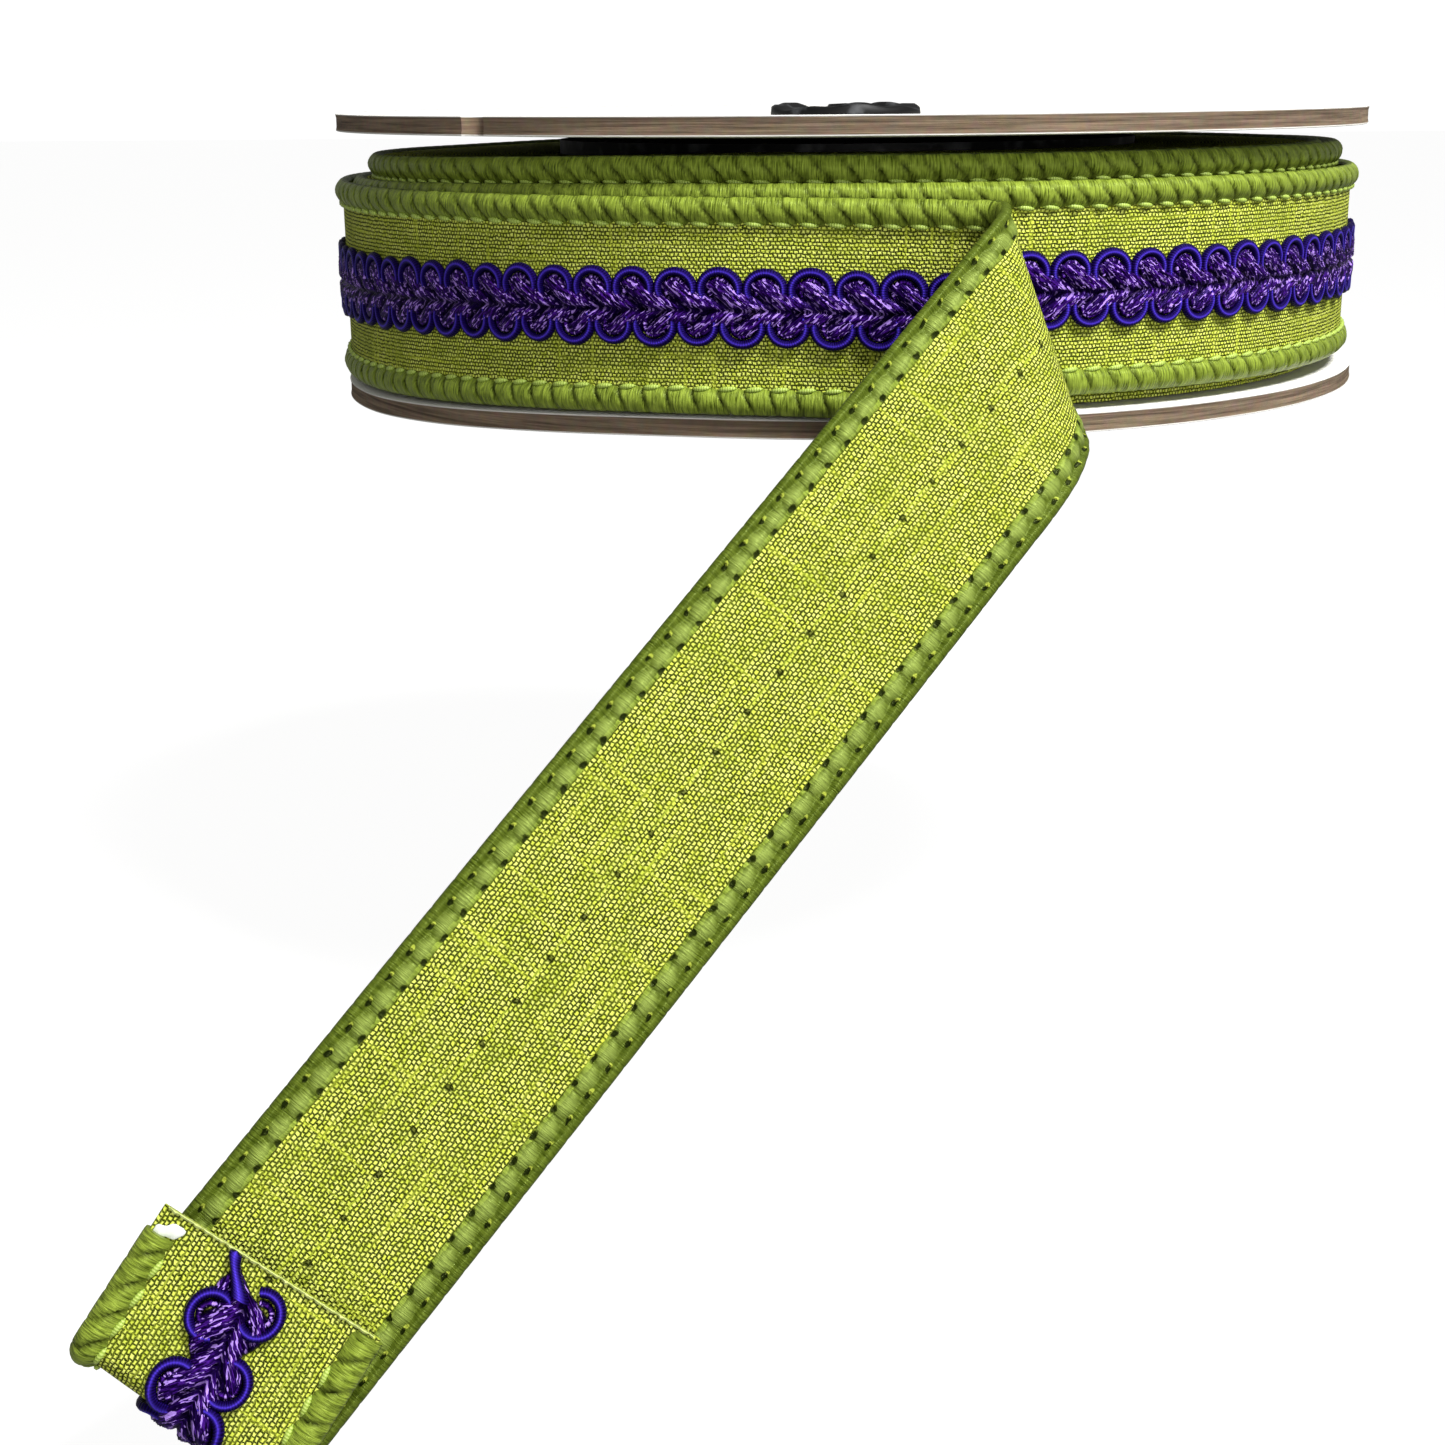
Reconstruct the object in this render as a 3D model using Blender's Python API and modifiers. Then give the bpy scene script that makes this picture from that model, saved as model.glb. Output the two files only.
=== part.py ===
"""Bound cloth ribbon with a scalloped gimp braid, wound on a flat board spool.

The spool's axis is the Z axis, with its underside at z = 0. The ribbon winds outwards
counter-clockwise, leaves the roll at the front, folds back over its own face, hangs
down to the left and ends in a short piece that is folded up again.
Lengths are in millimetres, and MM turns them into metres.
"""
import math

import bmesh
import bpy
import numpy as np

MM = 0.001
GAP = 0.3

# Ribbon: its width, the edge bindings and the braid sewn along its middle
RIBBON_WIDTH = 25.4
BINDING_WIDTH = 3.2
BINDING_HALF_DEPTH = 1.0
CLOTH_DEPTH = 1.0
GIMP_HALF_WIDTH = 4.7
GIMP_SCALLOP_HEIGHT = 0.8
GIMP_PITCH = 5.4
GIMP_DEPTH = 1.0
STEPS_A_SCALLOP = 4

# Spool
FLANGE_RADIUS = 74.0
FLANGE_THICKNESS = 2.4
SPOOL_HEIGHT = 37.2
CORE_RADIUS = 42.0
HUB_RADIUS = 11.0
HUB_PROUD = 1.3
NOTCH_RADIUS = 1.9
NOTCH_ANGLE = -38.0

# Roll: each turn is TURN_PITCH further out than the last one
BINDING_RADIUS_RIGHT = 73.2
TURN_PITCH = 2.4
LEAVE_ANGLE = -6.7
LEAVE_LIFT = 0.35
SECTION_ANGLE = 5.0
STEP_ANGLE = 0.25

# Height of the ribbon's top edge along the spiral. The angle counts turns from the
# front of the turn before last: 0 and 360 are both the front, 90 and 450 the right.
TOP_EDGE = (
    # angle, height
    (-360.0, 32.7),
    (90.0, 32.7),
    (270.0, 29.6),
    (450.0, 29.6),
    (630.0, 29.3),
    (713.0, 28.2),
)

# Loose end, from the roll to the cut end. Each row is a stretch of ribbon, the angle
# it turns through, towards its face when positive, and at its end the lean of the
# line about which it turns: how far that line shifts along the ribbon for each
# millimetre across it.
LOOSE_END = (
    # length, turn, lean at its end
    (26.7, 3.0, -0.21),
    (7.5, 86.0, -0.51),
    (12.8, 65.0, -0.99),
    (34.0, 2.0, -0.10),
    (34.0, 2.0, 0.0),
    (34.0, 2.0, 0.0),
    (30.6, 2.0, 0.055),
    (8.0, -180.0, 0.055),
    (14.5, 0.0, 0.0),
)
LEAVE_SLOPE = -0.012
STATION_LENGTH = 5.0
STATION_TURN = 8.0

HALF_WIDTH = 0.5 * RIBBON_WIDTH
CLOTH_HALF_WIDTH = HALF_WIDTH - BINDING_WIDTH - GAP
FLANGE_TOP = SPOOL_HEIGHT - FLANGE_THICKNESS
ROLL_BOTTOM = FLANGE_THICKNESS + GAP


def clear_scene():
    """Remove what the start-up file holds."""
    for item in list(bpy.data.objects):
        bpy.data.objects.remove(item, do_unlink=True)


def make_collection(name):
    """A new collection, linked to the scene."""
    collection = bpy.data.collections.new(name)
    bpy.context.scene.collection.children.link(collection)
    return collection


def make_material(name, colour, roughness, sheen=0.0):
    """A Principled material of one colour."""
    material = bpy.data.materials.new(name)
    material.use_nodes = True
    shader = material.node_tree.nodes["Principled BSDF"]
    shader.inputs["Base Color"].default_value = (*colour, 1.0)
    shader.inputs["Roughness"].default_value = roughness
    shader.inputs["Metallic"].default_value = 0.0
    shader.inputs["Sheen Weight"].default_value = sheen
    return material


def add_object(name, mesh, material, collection, smooth_angle=40.0):
    """Put a mesh into the scene under the sub-part's own name."""
    mesh.materials.append(material)
    mesh.shade_smooth()
    mesh.set_sharp_from_angle(angle=math.radians(smooth_angle))
    item = bpy.data.objects.new(name, mesh)
    collection.objects.link(item)
    return item


def loft(name, sections, closed=False):
    """Mesh through rows of points, each row one outline of the same point count.

    sections is an array (stations, points, 3) in millimetres. A closed loft joins its
    last outline to its first one, and an open one gets a cap at each end.
    """
    stations, points, _ = sections.shape
    mesh = bpy.data.meshes.new(name)
    work = bmesh.new()
    rows = [[work.verts.new(point) for point in row * MM] for row in sections]
    for i in range(stations if closed else stations - 1):
        this_row = rows[i]
        next_row = rows[(i + 1) % stations]
        for j in range(points):
            k = (j + 1) % points
            work.faces.new((this_row[j], this_row[k], next_row[k], next_row[j]))
    if not closed:
        work.faces.new(rows[0])
        work.faces.new(rows[-1])
    bmesh.ops.recalc_face_normals(work, faces=work.faces)
    work.to_mesh(mesh)
    work.free()
    return mesh


def disc(name, radius, bottom, height, segments=96):
    """A flat round plate as a mesh, centred on the Z axis."""
    mesh = bpy.data.meshes.new(name)
    work = bmesh.new()
    bmesh.ops.create_cone(
        work, cap_ends=True, segments=segments,
        radius1=radius * MM, radius2=radius * MM, depth=height * MM)
    bmesh.ops.translate(work, verts=work.verts, vec=(0.0, 0.0, (bottom + 0.5 * height) * MM))
    work.to_mesh(mesh)
    work.free()
    return mesh


def cut(item, cutter_mesh, cutters):
    """Cut one mesh out of an object with a Boolean modifier."""
    cutter = bpy.data.objects.new(f"{item.name}_{cutter_mesh.name}", cutter_mesh)
    cutter.hide_render = True
    cutter.display_type = "WIRE"
    cutters.objects.link(cutter)
    boolean = item.modifiers.new(cutter_mesh.name, "BOOLEAN")
    boolean.operation = "DIFFERENCE"
    boolean.solver = "EXACT"
    boolean.object = cutter


def build_spool(collection, cutters, board, plastic):
    """Two board flanges on a closed core, whose hub shows above the upper flange."""
    lower = disc("spool_flange_bottom", FLANGE_RADIUS, 0.0, FLANGE_THICKNESS)
    add_object("spool_flange_bottom", lower, board, collection)

    upper = disc("spool_flange_top", FLANGE_RADIUS, FLANGE_TOP, FLANGE_THICKNESS)
    flange = add_object("spool_flange_top", upper, board, collection)
    overshoot = 2.0
    cut_height = FLANGE_THICKNESS + 2.0 * overshoot
    hole = disc("hub_hole", HUB_RADIUS + GAP, FLANGE_TOP - overshoot, cut_height, 48)
    cut(flange, hole, cutters)
    notch = disc("notch", NOTCH_RADIUS, FLANGE_TOP - overshoot, cut_height, 16)
    angle = math.radians(NOTCH_ANGLE)
    for vertex in notch.vertices:
        vertex.co.x += FLANGE_RADIUS * math.sin(angle) * MM
        vertex.co.y -= FLANGE_RADIUS * math.cos(angle) * MM
    cut(flange, notch, cutters)

    core_top = FLANGE_TOP - GAP
    hub_top = SPOOL_HEIGHT + HUB_PROUD
    hub_edge = 0.5
    profile = (
        # radius, height, from the hub's top down the outside to the foot
        (0.0, hub_top),
        (HUB_RADIUS - hub_edge, hub_top),
        (HUB_RADIUS, hub_top - hub_edge),
        (HUB_RADIUS, core_top),
        (CORE_RADIUS, core_top),
        (CORE_RADIUS, ROLL_BOTTOM),
        (0.0, ROLL_BOTTOM),
    )
    mesh = bpy.data.meshes.new("spool_core")
    points = [(radius * MM, 0.0, height * MM) for radius, height in profile]
    edges = [(i, i + 1) for i in range(len(points) - 1)]
    mesh.from_pydata(points, edges, [])
    core = bpy.data.objects.new("spool_core", mesh)
    mesh.materials.append(plastic)
    screw = core.modifiers.new("turn", "SCREW")
    screw.steps = 64
    screw.render_steps = 64
    screw.use_merge_vertices = True
    screw.merge_threshold = 0.00001
    collection.objects.link(core)


def spiral_radius(angle):
    """Outer radius of the ribbon's bindings at an angle along the spiral."""
    return BINDING_RADIUS_RIGHT + TURN_PITCH * (angle - 450.0) / 360.0


def top_edge(angle):
    """Height of the ribbon's top edge, eased from row to row of TOP_EDGE."""
    for (start, low), (end, high) in zip(TOP_EDGE, TOP_EDGE[1:]):
        if angle <= end:
            part = max(0.0, (angle - start) / (end - start))
            return low + (high - low) * part * part * (3.0 - 2.0 * part)
    return TOP_EDGE[-1][1]


def outer_turn_angles(first, last, step):
    """Evenly spaced angles along the outer turn, both ends included."""
    count = max(2, round((last - first) / step) + 1)
    return np.linspace(first, last, count)


def on_roll(angle, points):
    """Place (across, out) points at an angle of the outer turn.

    across runs up from the ribbon's middle, and out from the middle of its bindings.
    """
    turn = math.radians(angle)
    middle = spiral_radius(angle) - BINDING_HALF_DEPTH
    centre = top_edge(angle) - HALF_WIDTH
    return [
        ((middle + out) * math.sin(turn), -(middle + out) * math.cos(turn), centre + across)
        for across, out in points
    ]


def roll_outline(angle):
    """Section of the roll, (radius, height), at an angle of its outer turn."""
    radius = spiral_radius(angle)
    top = top_edge(angle)
    bottom = top - RIBBON_WIDTH
    next_top = top_edge(angle - 360.0)
    inner_top = top_edge(angle - 720.0)
    seat = radius - 2.0 * BINDING_HALF_DEPTH - GAP
    face = radius - BINDING_HALF_DEPTH
    trim = BINDING_WIDTH
    second = seat - TURN_PITCH
    edge = 0.4
    drop = 1.0
    return (
        (CORE_RADIUS + GAP, ROLL_BOTTOM),
        (seat, ROLL_BOTTOM),
        (seat, bottom + trim),
        (face, bottom + trim),
        (face, top - trim),
        (seat, top - trim),
        (seat, next_top - drop),
        (seat - edge, next_top),
        (second + edge, next_top),
        (second, max(next_top + 0.1, inner_top - drop)),
        (second - edge, inner_top + 0.15),
        (second - TURN_PITCH, inner_top + 0.15),
        (CORE_RADIUS + GAP, inner_top + 0.15),
    )


def build_roll(collection, cloth, satin, braid):
    """The wound ribbon as one ring with a stepped top, and the trims of its outer turn."""
    first = LEAVE_ANGLE + 360.0
    last = first + 360.0 - STEP_ANGLE
    sections = []
    for angle in outer_turn_angles(first, last, SECTION_ANGLE):
        turn = math.radians(angle)
        sections.append([
            (radius * math.sin(turn), -radius * math.cos(turn), height)
            for radius, height in roll_outline(angle)
        ])
    mesh = loft("ribbon_roll", np.array(sections), closed=True)
    add_object("ribbon_roll", mesh, cloth, collection)

    end_gap = math.degrees(GAP / FLANGE_RADIUS)
    trim_first = first + end_gap
    trim_last = last - end_gap
    for name, side in (("roll_binding_top", 1.0), ("roll_binding_bottom", -1.0)):
        outline = [(side * across, out) for across, out in binding_outline()]
        rows = [
            on_roll(angle, outline)
            for angle in outer_turn_angles(trim_first, trim_last, SECTION_ANGLE)
        ]
        add_object(name, loft(name, np.array(rows)), satin, collection)

    step = math.degrees(GIMP_PITCH / STEPS_A_SCALLOP / FLANGE_RADIUS)
    rows = []
    for index, angle in enumerate(outer_turn_angles(trim_first, trim_last, step)):
        phase = index / STEPS_A_SCALLOP
        rows.append(on_roll(angle, gimp_outline(scallop(phase), scallop(phase + 0.5))))
    add_object("roll_gimp", loft("roll_gimp", np.array(rows)), braid, collection)


def binding_outline():
    """Section of the top binding, (across, out): a flat tube around the wire."""
    inner = HALF_WIDTH - BINDING_WIDTH
    deep = BINDING_HALF_DEPTH
    round_in = 0.6
    return (
        (inner, -0.7 * deep),
        (inner + round_in, -deep),
        (HALF_WIDTH - round_in, -deep),
        (HALF_WIDTH, -0.35 * deep),
        (HALF_WIDTH, 0.35 * deep),
        (HALF_WIDTH - round_in, deep),
        (inner + round_in, deep),
        (inner, 0.7 * deep),
    )


def scallop(phase):
    """Height of the gimp's looped edge: 0 between two loops and 1 on top of one."""
    return abs(math.sin(math.pi * phase)) ** 0.7


def gimp_outline(upper, lower):
    """Section of the braid, (across, out), for the two loop heights of its edges."""
    valley = GIMP_HALF_WIDTH - GIMP_SCALLOP_HEIGHT
    high = valley + GIMP_SCALLOP_HEIGHT * upper
    low = -valley - GIMP_SCALLOP_HEIGHT * lower
    return ((low, GAP), (high, GAP), (high, GAP + GIMP_DEPTH), (low, GAP + GIMP_DEPTH))


def rotate(vector, axis, angle):
    """Turn a vector about a unit axis."""
    along = axis * np.dot(axis, vector)
    across = np.cross(axis, vector)
    return along + (vector - along) * math.cos(angle) + across * math.sin(angle)


def loose_end_frames(station_length, station_turn):
    """Stations along the loose end's middle line.

    The flat ribbon is only bent, never stretched: between two stations it turns about
    a line in its own plane, leaning as LOOSE_END says. Each station gives the distance
    along the ribbon, the point, the ribbon's direction, its width direction, the
    outward normal of its face and the lean.
    """
    angle = math.radians(LEAVE_ANGLE)
    radius = spiral_radius(LEAVE_ANGLE + 720.0) - BINDING_HALF_DEPTH + LEAVE_LIFT
    centre = top_edge(LEAVE_ANGLE + 720.0) - HALF_WIDTH
    point = np.array([radius * math.sin(angle), -radius * math.cos(angle), centre])
    along = np.array([math.cos(angle), math.sin(angle), LEAVE_SLOPE])
    along /= np.linalg.norm(along)
    width = np.array([0.0, 0.0, 1.0])
    width -= along * np.dot(along, width)
    width /= np.linalg.norm(width)
    distance = GAP
    lean = 0.0
    point = point + along * GAP
    frames = [(distance, point, along, width, np.cross(along, width), lean)]
    for length, turn, end_lean in LOOSE_END:
        steps = max(round(length / station_length), round(abs(turn) / station_turn), 1)
        part = length / steps
        angle_step = -math.radians(turn) / steps
        start_lean = lean
        for step in range(steps):
            middle_lean = start_lean + (end_lean - start_lean) * (step + 0.5) / steps
            axis = width + middle_lean * along
            axis /= np.linalg.norm(axis)
            point = point + part * rotate(along, axis, 0.5 * angle_step)
            along = rotate(along, axis, angle_step)
            width = rotate(width, axis, angle_step)
            distance += part
            lean = start_lean + (end_lean - start_lean) * (step + 1.0) / steps
            frames.append((distance, point, along, width, np.cross(along, width), lean))
    return frames


def on_loose_end(frame, points):
    """Place (across, out) points on the straight line across the ribbon at a station."""
    _, point, along, width, normal, lean = frame
    return [point + across * (width + lean * along) + out * normal for across, out in points]


def build_loose_end(collection, cloth, satin, braid):
    """The loose end's cloth, its two bindings and its braid."""
    frames = loose_end_frames(STATION_LENGTH, STATION_TURN)
    half = CLOTH_HALF_WIDTH
    outline = ((-half, -CLOTH_DEPTH), (half, -CLOTH_DEPTH), (half, 0.0), (-half, 0.0))
    rows = [on_loose_end(frame, outline) for frame in frames]
    add_object("loose_end_cloth", loft("loose_end_cloth", np.array(rows)), cloth, collection)

    for name, side in (("loose_end_binding_top", 1.0), ("loose_end_binding_bottom", -1.0)):
        outline = [(side * across, out) for across, out in binding_outline()]
        rows = [on_loose_end(frame, outline) for frame in frames]
        add_object(name, loft(name, np.array(rows)), satin, collection)

    step_length = GIMP_PITCH / STEPS_A_SCALLOP
    rows = []
    for frame in loose_end_frames(step_length, STATION_TURN):
        distance = frame[0]
        lean = frame[5]
        heights = []
        for side, offset in ((1.0, 0.0), (-1.0, 0.5)):
            edge = side * (GIMP_HALF_WIDTH - 0.5 * GIMP_SCALLOP_HEIGHT)
            heights.append(scallop((distance + lean * edge) / GIMP_PITCH + offset))
        rows.append(on_loose_end(frame, gimp_outline(*heights)))
    add_object("loose_end_gimp", loft("loose_end_gimp", np.array(rows)), braid, collection)


def main():
    """Build the whole part."""
    clear_scene()
    collection = make_collection("ribbon_on_spool")
    cutters = make_collection("cutters")
    board = make_material("grey_board", (0.12, 0.085, 0.05), 0.8)
    plastic = make_material("black_plastic", (0.01, 0.01, 0.012), 0.4)
    cloth = make_material("lime_cloth", (0.36, 0.45, 0.03), 0.8, 0.3)
    satin = make_material("olive_satin", (0.17, 0.27, 0.03), 0.45, 0.2)
    braid = make_material("violet_braid", (0.06, 0.012, 0.25), 0.35, 0.2)
    build_spool(collection, cutters, board, plastic)
    build_roll(collection, cloth, satin, braid)
    build_loose_end(collection, cloth, satin, braid)


main()
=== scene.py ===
# %% [markdown]
# # A bound cloth ribbon on its spool
# The object is a wire-edged dupion ribbon, one inch wide, with a violet gimp braid sewn
# along its middle. It is wound on a flat chipboard spool. The loose end leaves the roll,
# folds back over its own face and hangs down to the left.
#
# Everything on the ribbon is placed by three numbers: how far along the ribbon, how far
# across it and how far out of its face. One function turns these into a place in space,
# so cloth, bindings and braid follow the same folds without any fitting.

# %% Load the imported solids
import math

import bpy
import numpy as np
from mathutils import Matrix, Vector


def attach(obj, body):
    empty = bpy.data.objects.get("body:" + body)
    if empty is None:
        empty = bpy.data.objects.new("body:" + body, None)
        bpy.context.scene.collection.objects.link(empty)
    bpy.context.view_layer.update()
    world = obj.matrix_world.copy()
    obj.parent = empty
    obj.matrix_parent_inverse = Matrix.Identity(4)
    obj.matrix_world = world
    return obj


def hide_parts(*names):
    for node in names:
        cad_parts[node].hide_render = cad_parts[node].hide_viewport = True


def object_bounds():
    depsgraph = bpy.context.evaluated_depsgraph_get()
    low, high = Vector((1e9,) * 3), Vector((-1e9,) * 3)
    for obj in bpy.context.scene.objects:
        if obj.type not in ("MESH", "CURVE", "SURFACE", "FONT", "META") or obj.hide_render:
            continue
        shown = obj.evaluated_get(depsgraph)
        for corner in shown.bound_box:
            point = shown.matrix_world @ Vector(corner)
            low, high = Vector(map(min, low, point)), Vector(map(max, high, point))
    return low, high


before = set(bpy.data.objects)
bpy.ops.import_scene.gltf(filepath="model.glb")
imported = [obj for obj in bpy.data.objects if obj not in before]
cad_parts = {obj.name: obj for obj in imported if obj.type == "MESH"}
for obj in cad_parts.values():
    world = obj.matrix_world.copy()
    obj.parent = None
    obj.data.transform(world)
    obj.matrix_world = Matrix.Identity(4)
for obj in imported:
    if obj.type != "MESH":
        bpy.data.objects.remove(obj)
CAD_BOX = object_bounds()
MM = 0.001
print("solids:", sorted(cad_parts))

# %% [markdown]
# ## The camera
# The picture was taken from a little above the spool, about 33 cm away. The lens and the
# three angles come from fitting a pinhole camera to the round edges of the two flanges.

# %% Place the camera
IMAGE_SIDE = 1445.0
FOCAL_LENGTH_PIXELS = 2126.0
SENSOR_WIDTH = 36.0
CAMERA_PLACE = Vector((0.0, -325.7, 40.3))
CAMERA_TURN = 3.32
CAMERA_DOWN = 16.64
CAMERA_ROLL = -0.50


def make_camera():
    """A camera turned to the left, then tipped down, then rolled about its own axis."""
    data = bpy.data.cameras.new("camera")
    data.sensor_width = SENSOR_WIDTH
    data.lens = FOCAL_LENGTH_PIXELS / IMAGE_SIDE * SENSOR_WIDTH
    data.clip_start = 0.01
    camera = bpy.data.objects.new("camera", data)
    turn = Matrix.Rotation(math.radians(CAMERA_TURN), 4, "Z")
    down = Matrix.Rotation(math.radians(90.0 - CAMERA_DOWN), 4, "X")
    roll = Matrix.Rotation(math.radians(CAMERA_ROLL), 4, "Z")
    camera.matrix_world = Matrix.Translation(CAMERA_PLACE * MM) @ turn @ down @ roll
    bpy.context.scene.collection.objects.link(camera)
    bpy.context.scene.camera = camera
    return camera


camera = make_camera()
print("lens:", round(camera.data.lens, 2), "mm")

# %% [markdown]
# ## Sizes
# These are the sizes of the real ribbon and spool in millimetres. The solids were built
# from the same values, so what is made here lies where they lie.

# %% Ribbon and spool sizes
RIBBON_WIDTH = 25.4
BINDING_WIDTH = 3.2
BINDING_HALF_DEPTH = 1.0
HALF_WIDTH = 0.5 * RIBBON_WIDTH
BINDING_INNER = HALF_WIDTH - BINDING_WIDTH
CLOTH_DEPTH = 0.5
GIMP_PITCH = 5.4
GIMP_HALF_WIDTH = 4.7

FLANGE_RADIUS = 74.0
FLANGE_THICKNESS = 2.4
SPOOL_HEIGHT = 37.2
FLANGE_TOP = SPOOL_HEIGHT - FLANGE_THICKNESS
CORE_RADIUS = 42.0
HUB_RADIUS = 11.0
NOTCH_RADIUS = 1.9
NOTCH_ANGLE = -38.0

BINDING_RADIUS_RIGHT = 73.2
TURN_PITCH = 2.4
LEAVE_ANGLE = -6.7
LEAVE_LIFT = 0.35
LIFT_ANGLE = 40.0
LEAVE_SLOPE = -0.012
ROLL_START = LEAVE_ANGLE + 360.0
ROLL_END = LEAVE_ANGLE + 720.0

TOP_EDGE = np.array((
    # angle, height of the ribbon's top edge
    (-360.0, 32.7),
    (90.0, 32.7),
    (270.0, 29.6),
    (450.0, 29.6),
    (630.0, 29.3),
    (713.0, 28.2),
))

LOOSE_END = (
    # length, turn, lean at its end
    (26.7, 3.0, -0.21),
    (7.5, 86.0, -0.51),
    (12.8, 65.0, -0.99),
    (34.0, 2.0, -0.10),
    (34.0, 2.0, 0.0),
    (34.0, 2.0, 0.0),
    (30.6, 2.0, 0.055),
    (8.0, -180.0, 0.055),
    (14.5, 0.0, 0.0),
)
LOOSE_LENGTH = sum(row[0] for row in LOOSE_END)
print("loose end:", round(LOOSE_LENGTH, 1), "mm")

# %% [markdown]
# ## The ribbon's path
# A flat ribbon can bend but not stretch. On the roll it bends evenly about the spool's
# axis. In a fold it bends about a line that leans across the ribbon, and when that lean
# changes along the way the fold becomes a cone, tight at one edge and wide at the other.
# Small steps along the middle line, each with its own turning line, give the whole path.


# %% Work out the path, station by station
def eased(part):
    """Smooth step from 0 to 1: three times the square less twice the cube."""
    part = np.clip(part, 0.0, 1.0)
    return part * part * (3.0 - 2.0 * part)


def turned(radius, height, turn):
    """Points at a radius and a height, turned about Z from the front: sine, minus cosine."""
    return np.stack((radius * np.sin(turn), -radius * np.cos(turn), height), axis=-1)


def spiral_radius(angle):
    """Outer radius of the bindings: it grows by one turn pitch for each full turn."""
    return BINDING_RADIUS_RIGHT + TURN_PITCH * (angle - 450.0) / 360.0


def top_edge(angle):
    """Height of the top edge, eased between the rows of TOP_EDGE."""
    row = np.searchsorted(TOP_EDGE[:, 0], angle, side="right") - 1
    row = np.clip(row, 0, len(TOP_EDGE) - 2)
    start, low = TOP_EDGE[row, 0], TOP_EDGE[row, 1]
    end, high = TOP_EDGE[row + 1, 0], TOP_EDGE[row + 1, 1]
    return low + (high - low) * eased((angle - start) / (end - start))


def roll_stations():
    """Stations on the spiral: the middle line runs round the axis at the spiral's radius."""
    angle = np.linspace(ROLL_START - 720.0, ROLL_END, 2800)
    turn = np.radians(angle)
    radius = spiral_radius(angle) - BINDING_HALF_DEPTH
    radius += LEAVE_LIFT * eased((angle - ROLL_END + LIFT_ANGLE) / LIFT_ANGLE)
    height = top_edge(angle) - HALF_WIDTH
    zero = np.zeros_like(turn)
    point = turned(radius, height, turn)
    along = np.stack((np.cos(turn), np.sin(turn), zero), axis=1)
    width = np.stack((zero, zero, zero + 1.0), axis=1)
    steps = np.linalg.norm(np.diff(point, axis=0), axis=1)
    distance = np.concatenate(((0.0,), np.cumsum(steps)))
    return angle, distance - distance[-1], point, along, width, zero


def rotate(vector, axis, angle):
    """Turn a vector about a unit axis."""
    along = axis * np.dot(axis, vector)
    return along + (vector - along) * math.cos(angle) + np.cross(axis, vector) * math.sin(angle)


def loose_stations(start, step_length=0.4):
    """Stations on the loose end: each step turns the ribbon about its leaning line."""
    angle = math.radians(LEAVE_ANGLE)
    point = start
    along = np.array((math.cos(angle), math.sin(angle), LEAVE_SLOPE))
    along /= np.linalg.norm(along)
    width = np.array((0.0, 0.0, 1.0))
    width -= along * np.dot(along, width)
    width /= np.linalg.norm(width)
    distance = 0.0
    lean = 0.0
    rows = []
    for length, turn, end_lean in LOOSE_END:
        steps = round(length / step_length)
        part = length / steps
        angle_step = -math.radians(turn) / steps
        start_lean = lean
        for step in range(steps):
            middle_lean = start_lean + (end_lean - start_lean) * (step + 0.5) / steps
            axis = width + middle_lean * along
            axis /= np.linalg.norm(axis)
            point = point + part * rotate(along, axis, 0.5 * angle_step)
            along = rotate(along, axis, angle_step)
            width = rotate(width, axis, angle_step)
            distance += part
            lean = start_lean + (end_lean - start_lean) * (step + 1.0) / steps
            rows.append(np.concatenate(((distance,), point, along, width, (lean,))))
    return np.array(rows)


def ribbon_path():
    """All stations in one table: distance, point, along, width, lean."""
    angle, distance, point, along, width, lean = roll_stations()
    roll = np.column_stack((distance, point, along, width, lean))
    return angle, np.concatenate((roll, loose_stations(point[-1])))


ROLL_ANGLES, PATH = ribbon_path()
ROLL_DISTANCES = PATH[:len(ROLL_ANGLES), 0]
OUTER_TURN = float(np.interp(ROLL_START, ROLL_ANGLES, ROLL_DISTANCES))
INNER_TURNS = float(ROLL_DISTANCES[0])
print("outer turn:", round(-OUTER_TURN, 1), "mm of ribbon")


# %% Settle the roll and place points on the ribbon
SETTLE_FROM, SETTLE_MIDDLE, SETTLE_TO, SETTLE_EASE = 190.0, 270.0, 350.0, 62.0
SETTLE_TOP = 0.9
SETTLE_BOTTOM = 2.1
SETTLE_HEIGHT = 29.0


def settle_share(x, y):
    """Share of the settling at a place: 1 at the roll's left end, easing to 0 both ways."""
    angle = np.degrees(np.arctan2(x, -y)) % 360.0
    front = eased((SETTLE_TO - angle) / SETTLE_EASE)
    back = eased((angle - SETTLE_FROM) / SETTLE_EASE)
    return np.where(angle > SETTLE_MIDDLE, front, back)


def settle(points):
    """Lower the roll's left end: most at its foot, where the board has bent away."""
    depth = np.clip(1.0 - points[..., 2] / SETTLE_HEIGHT, 0.0, 1.0)
    shift = SETTLE_TOP + SETTLE_BOTTOM * depth
    result = points.copy()
    result[..., 2] -= settle_share(points[..., 0], points[..., 1]) * shift
    return result


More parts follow.
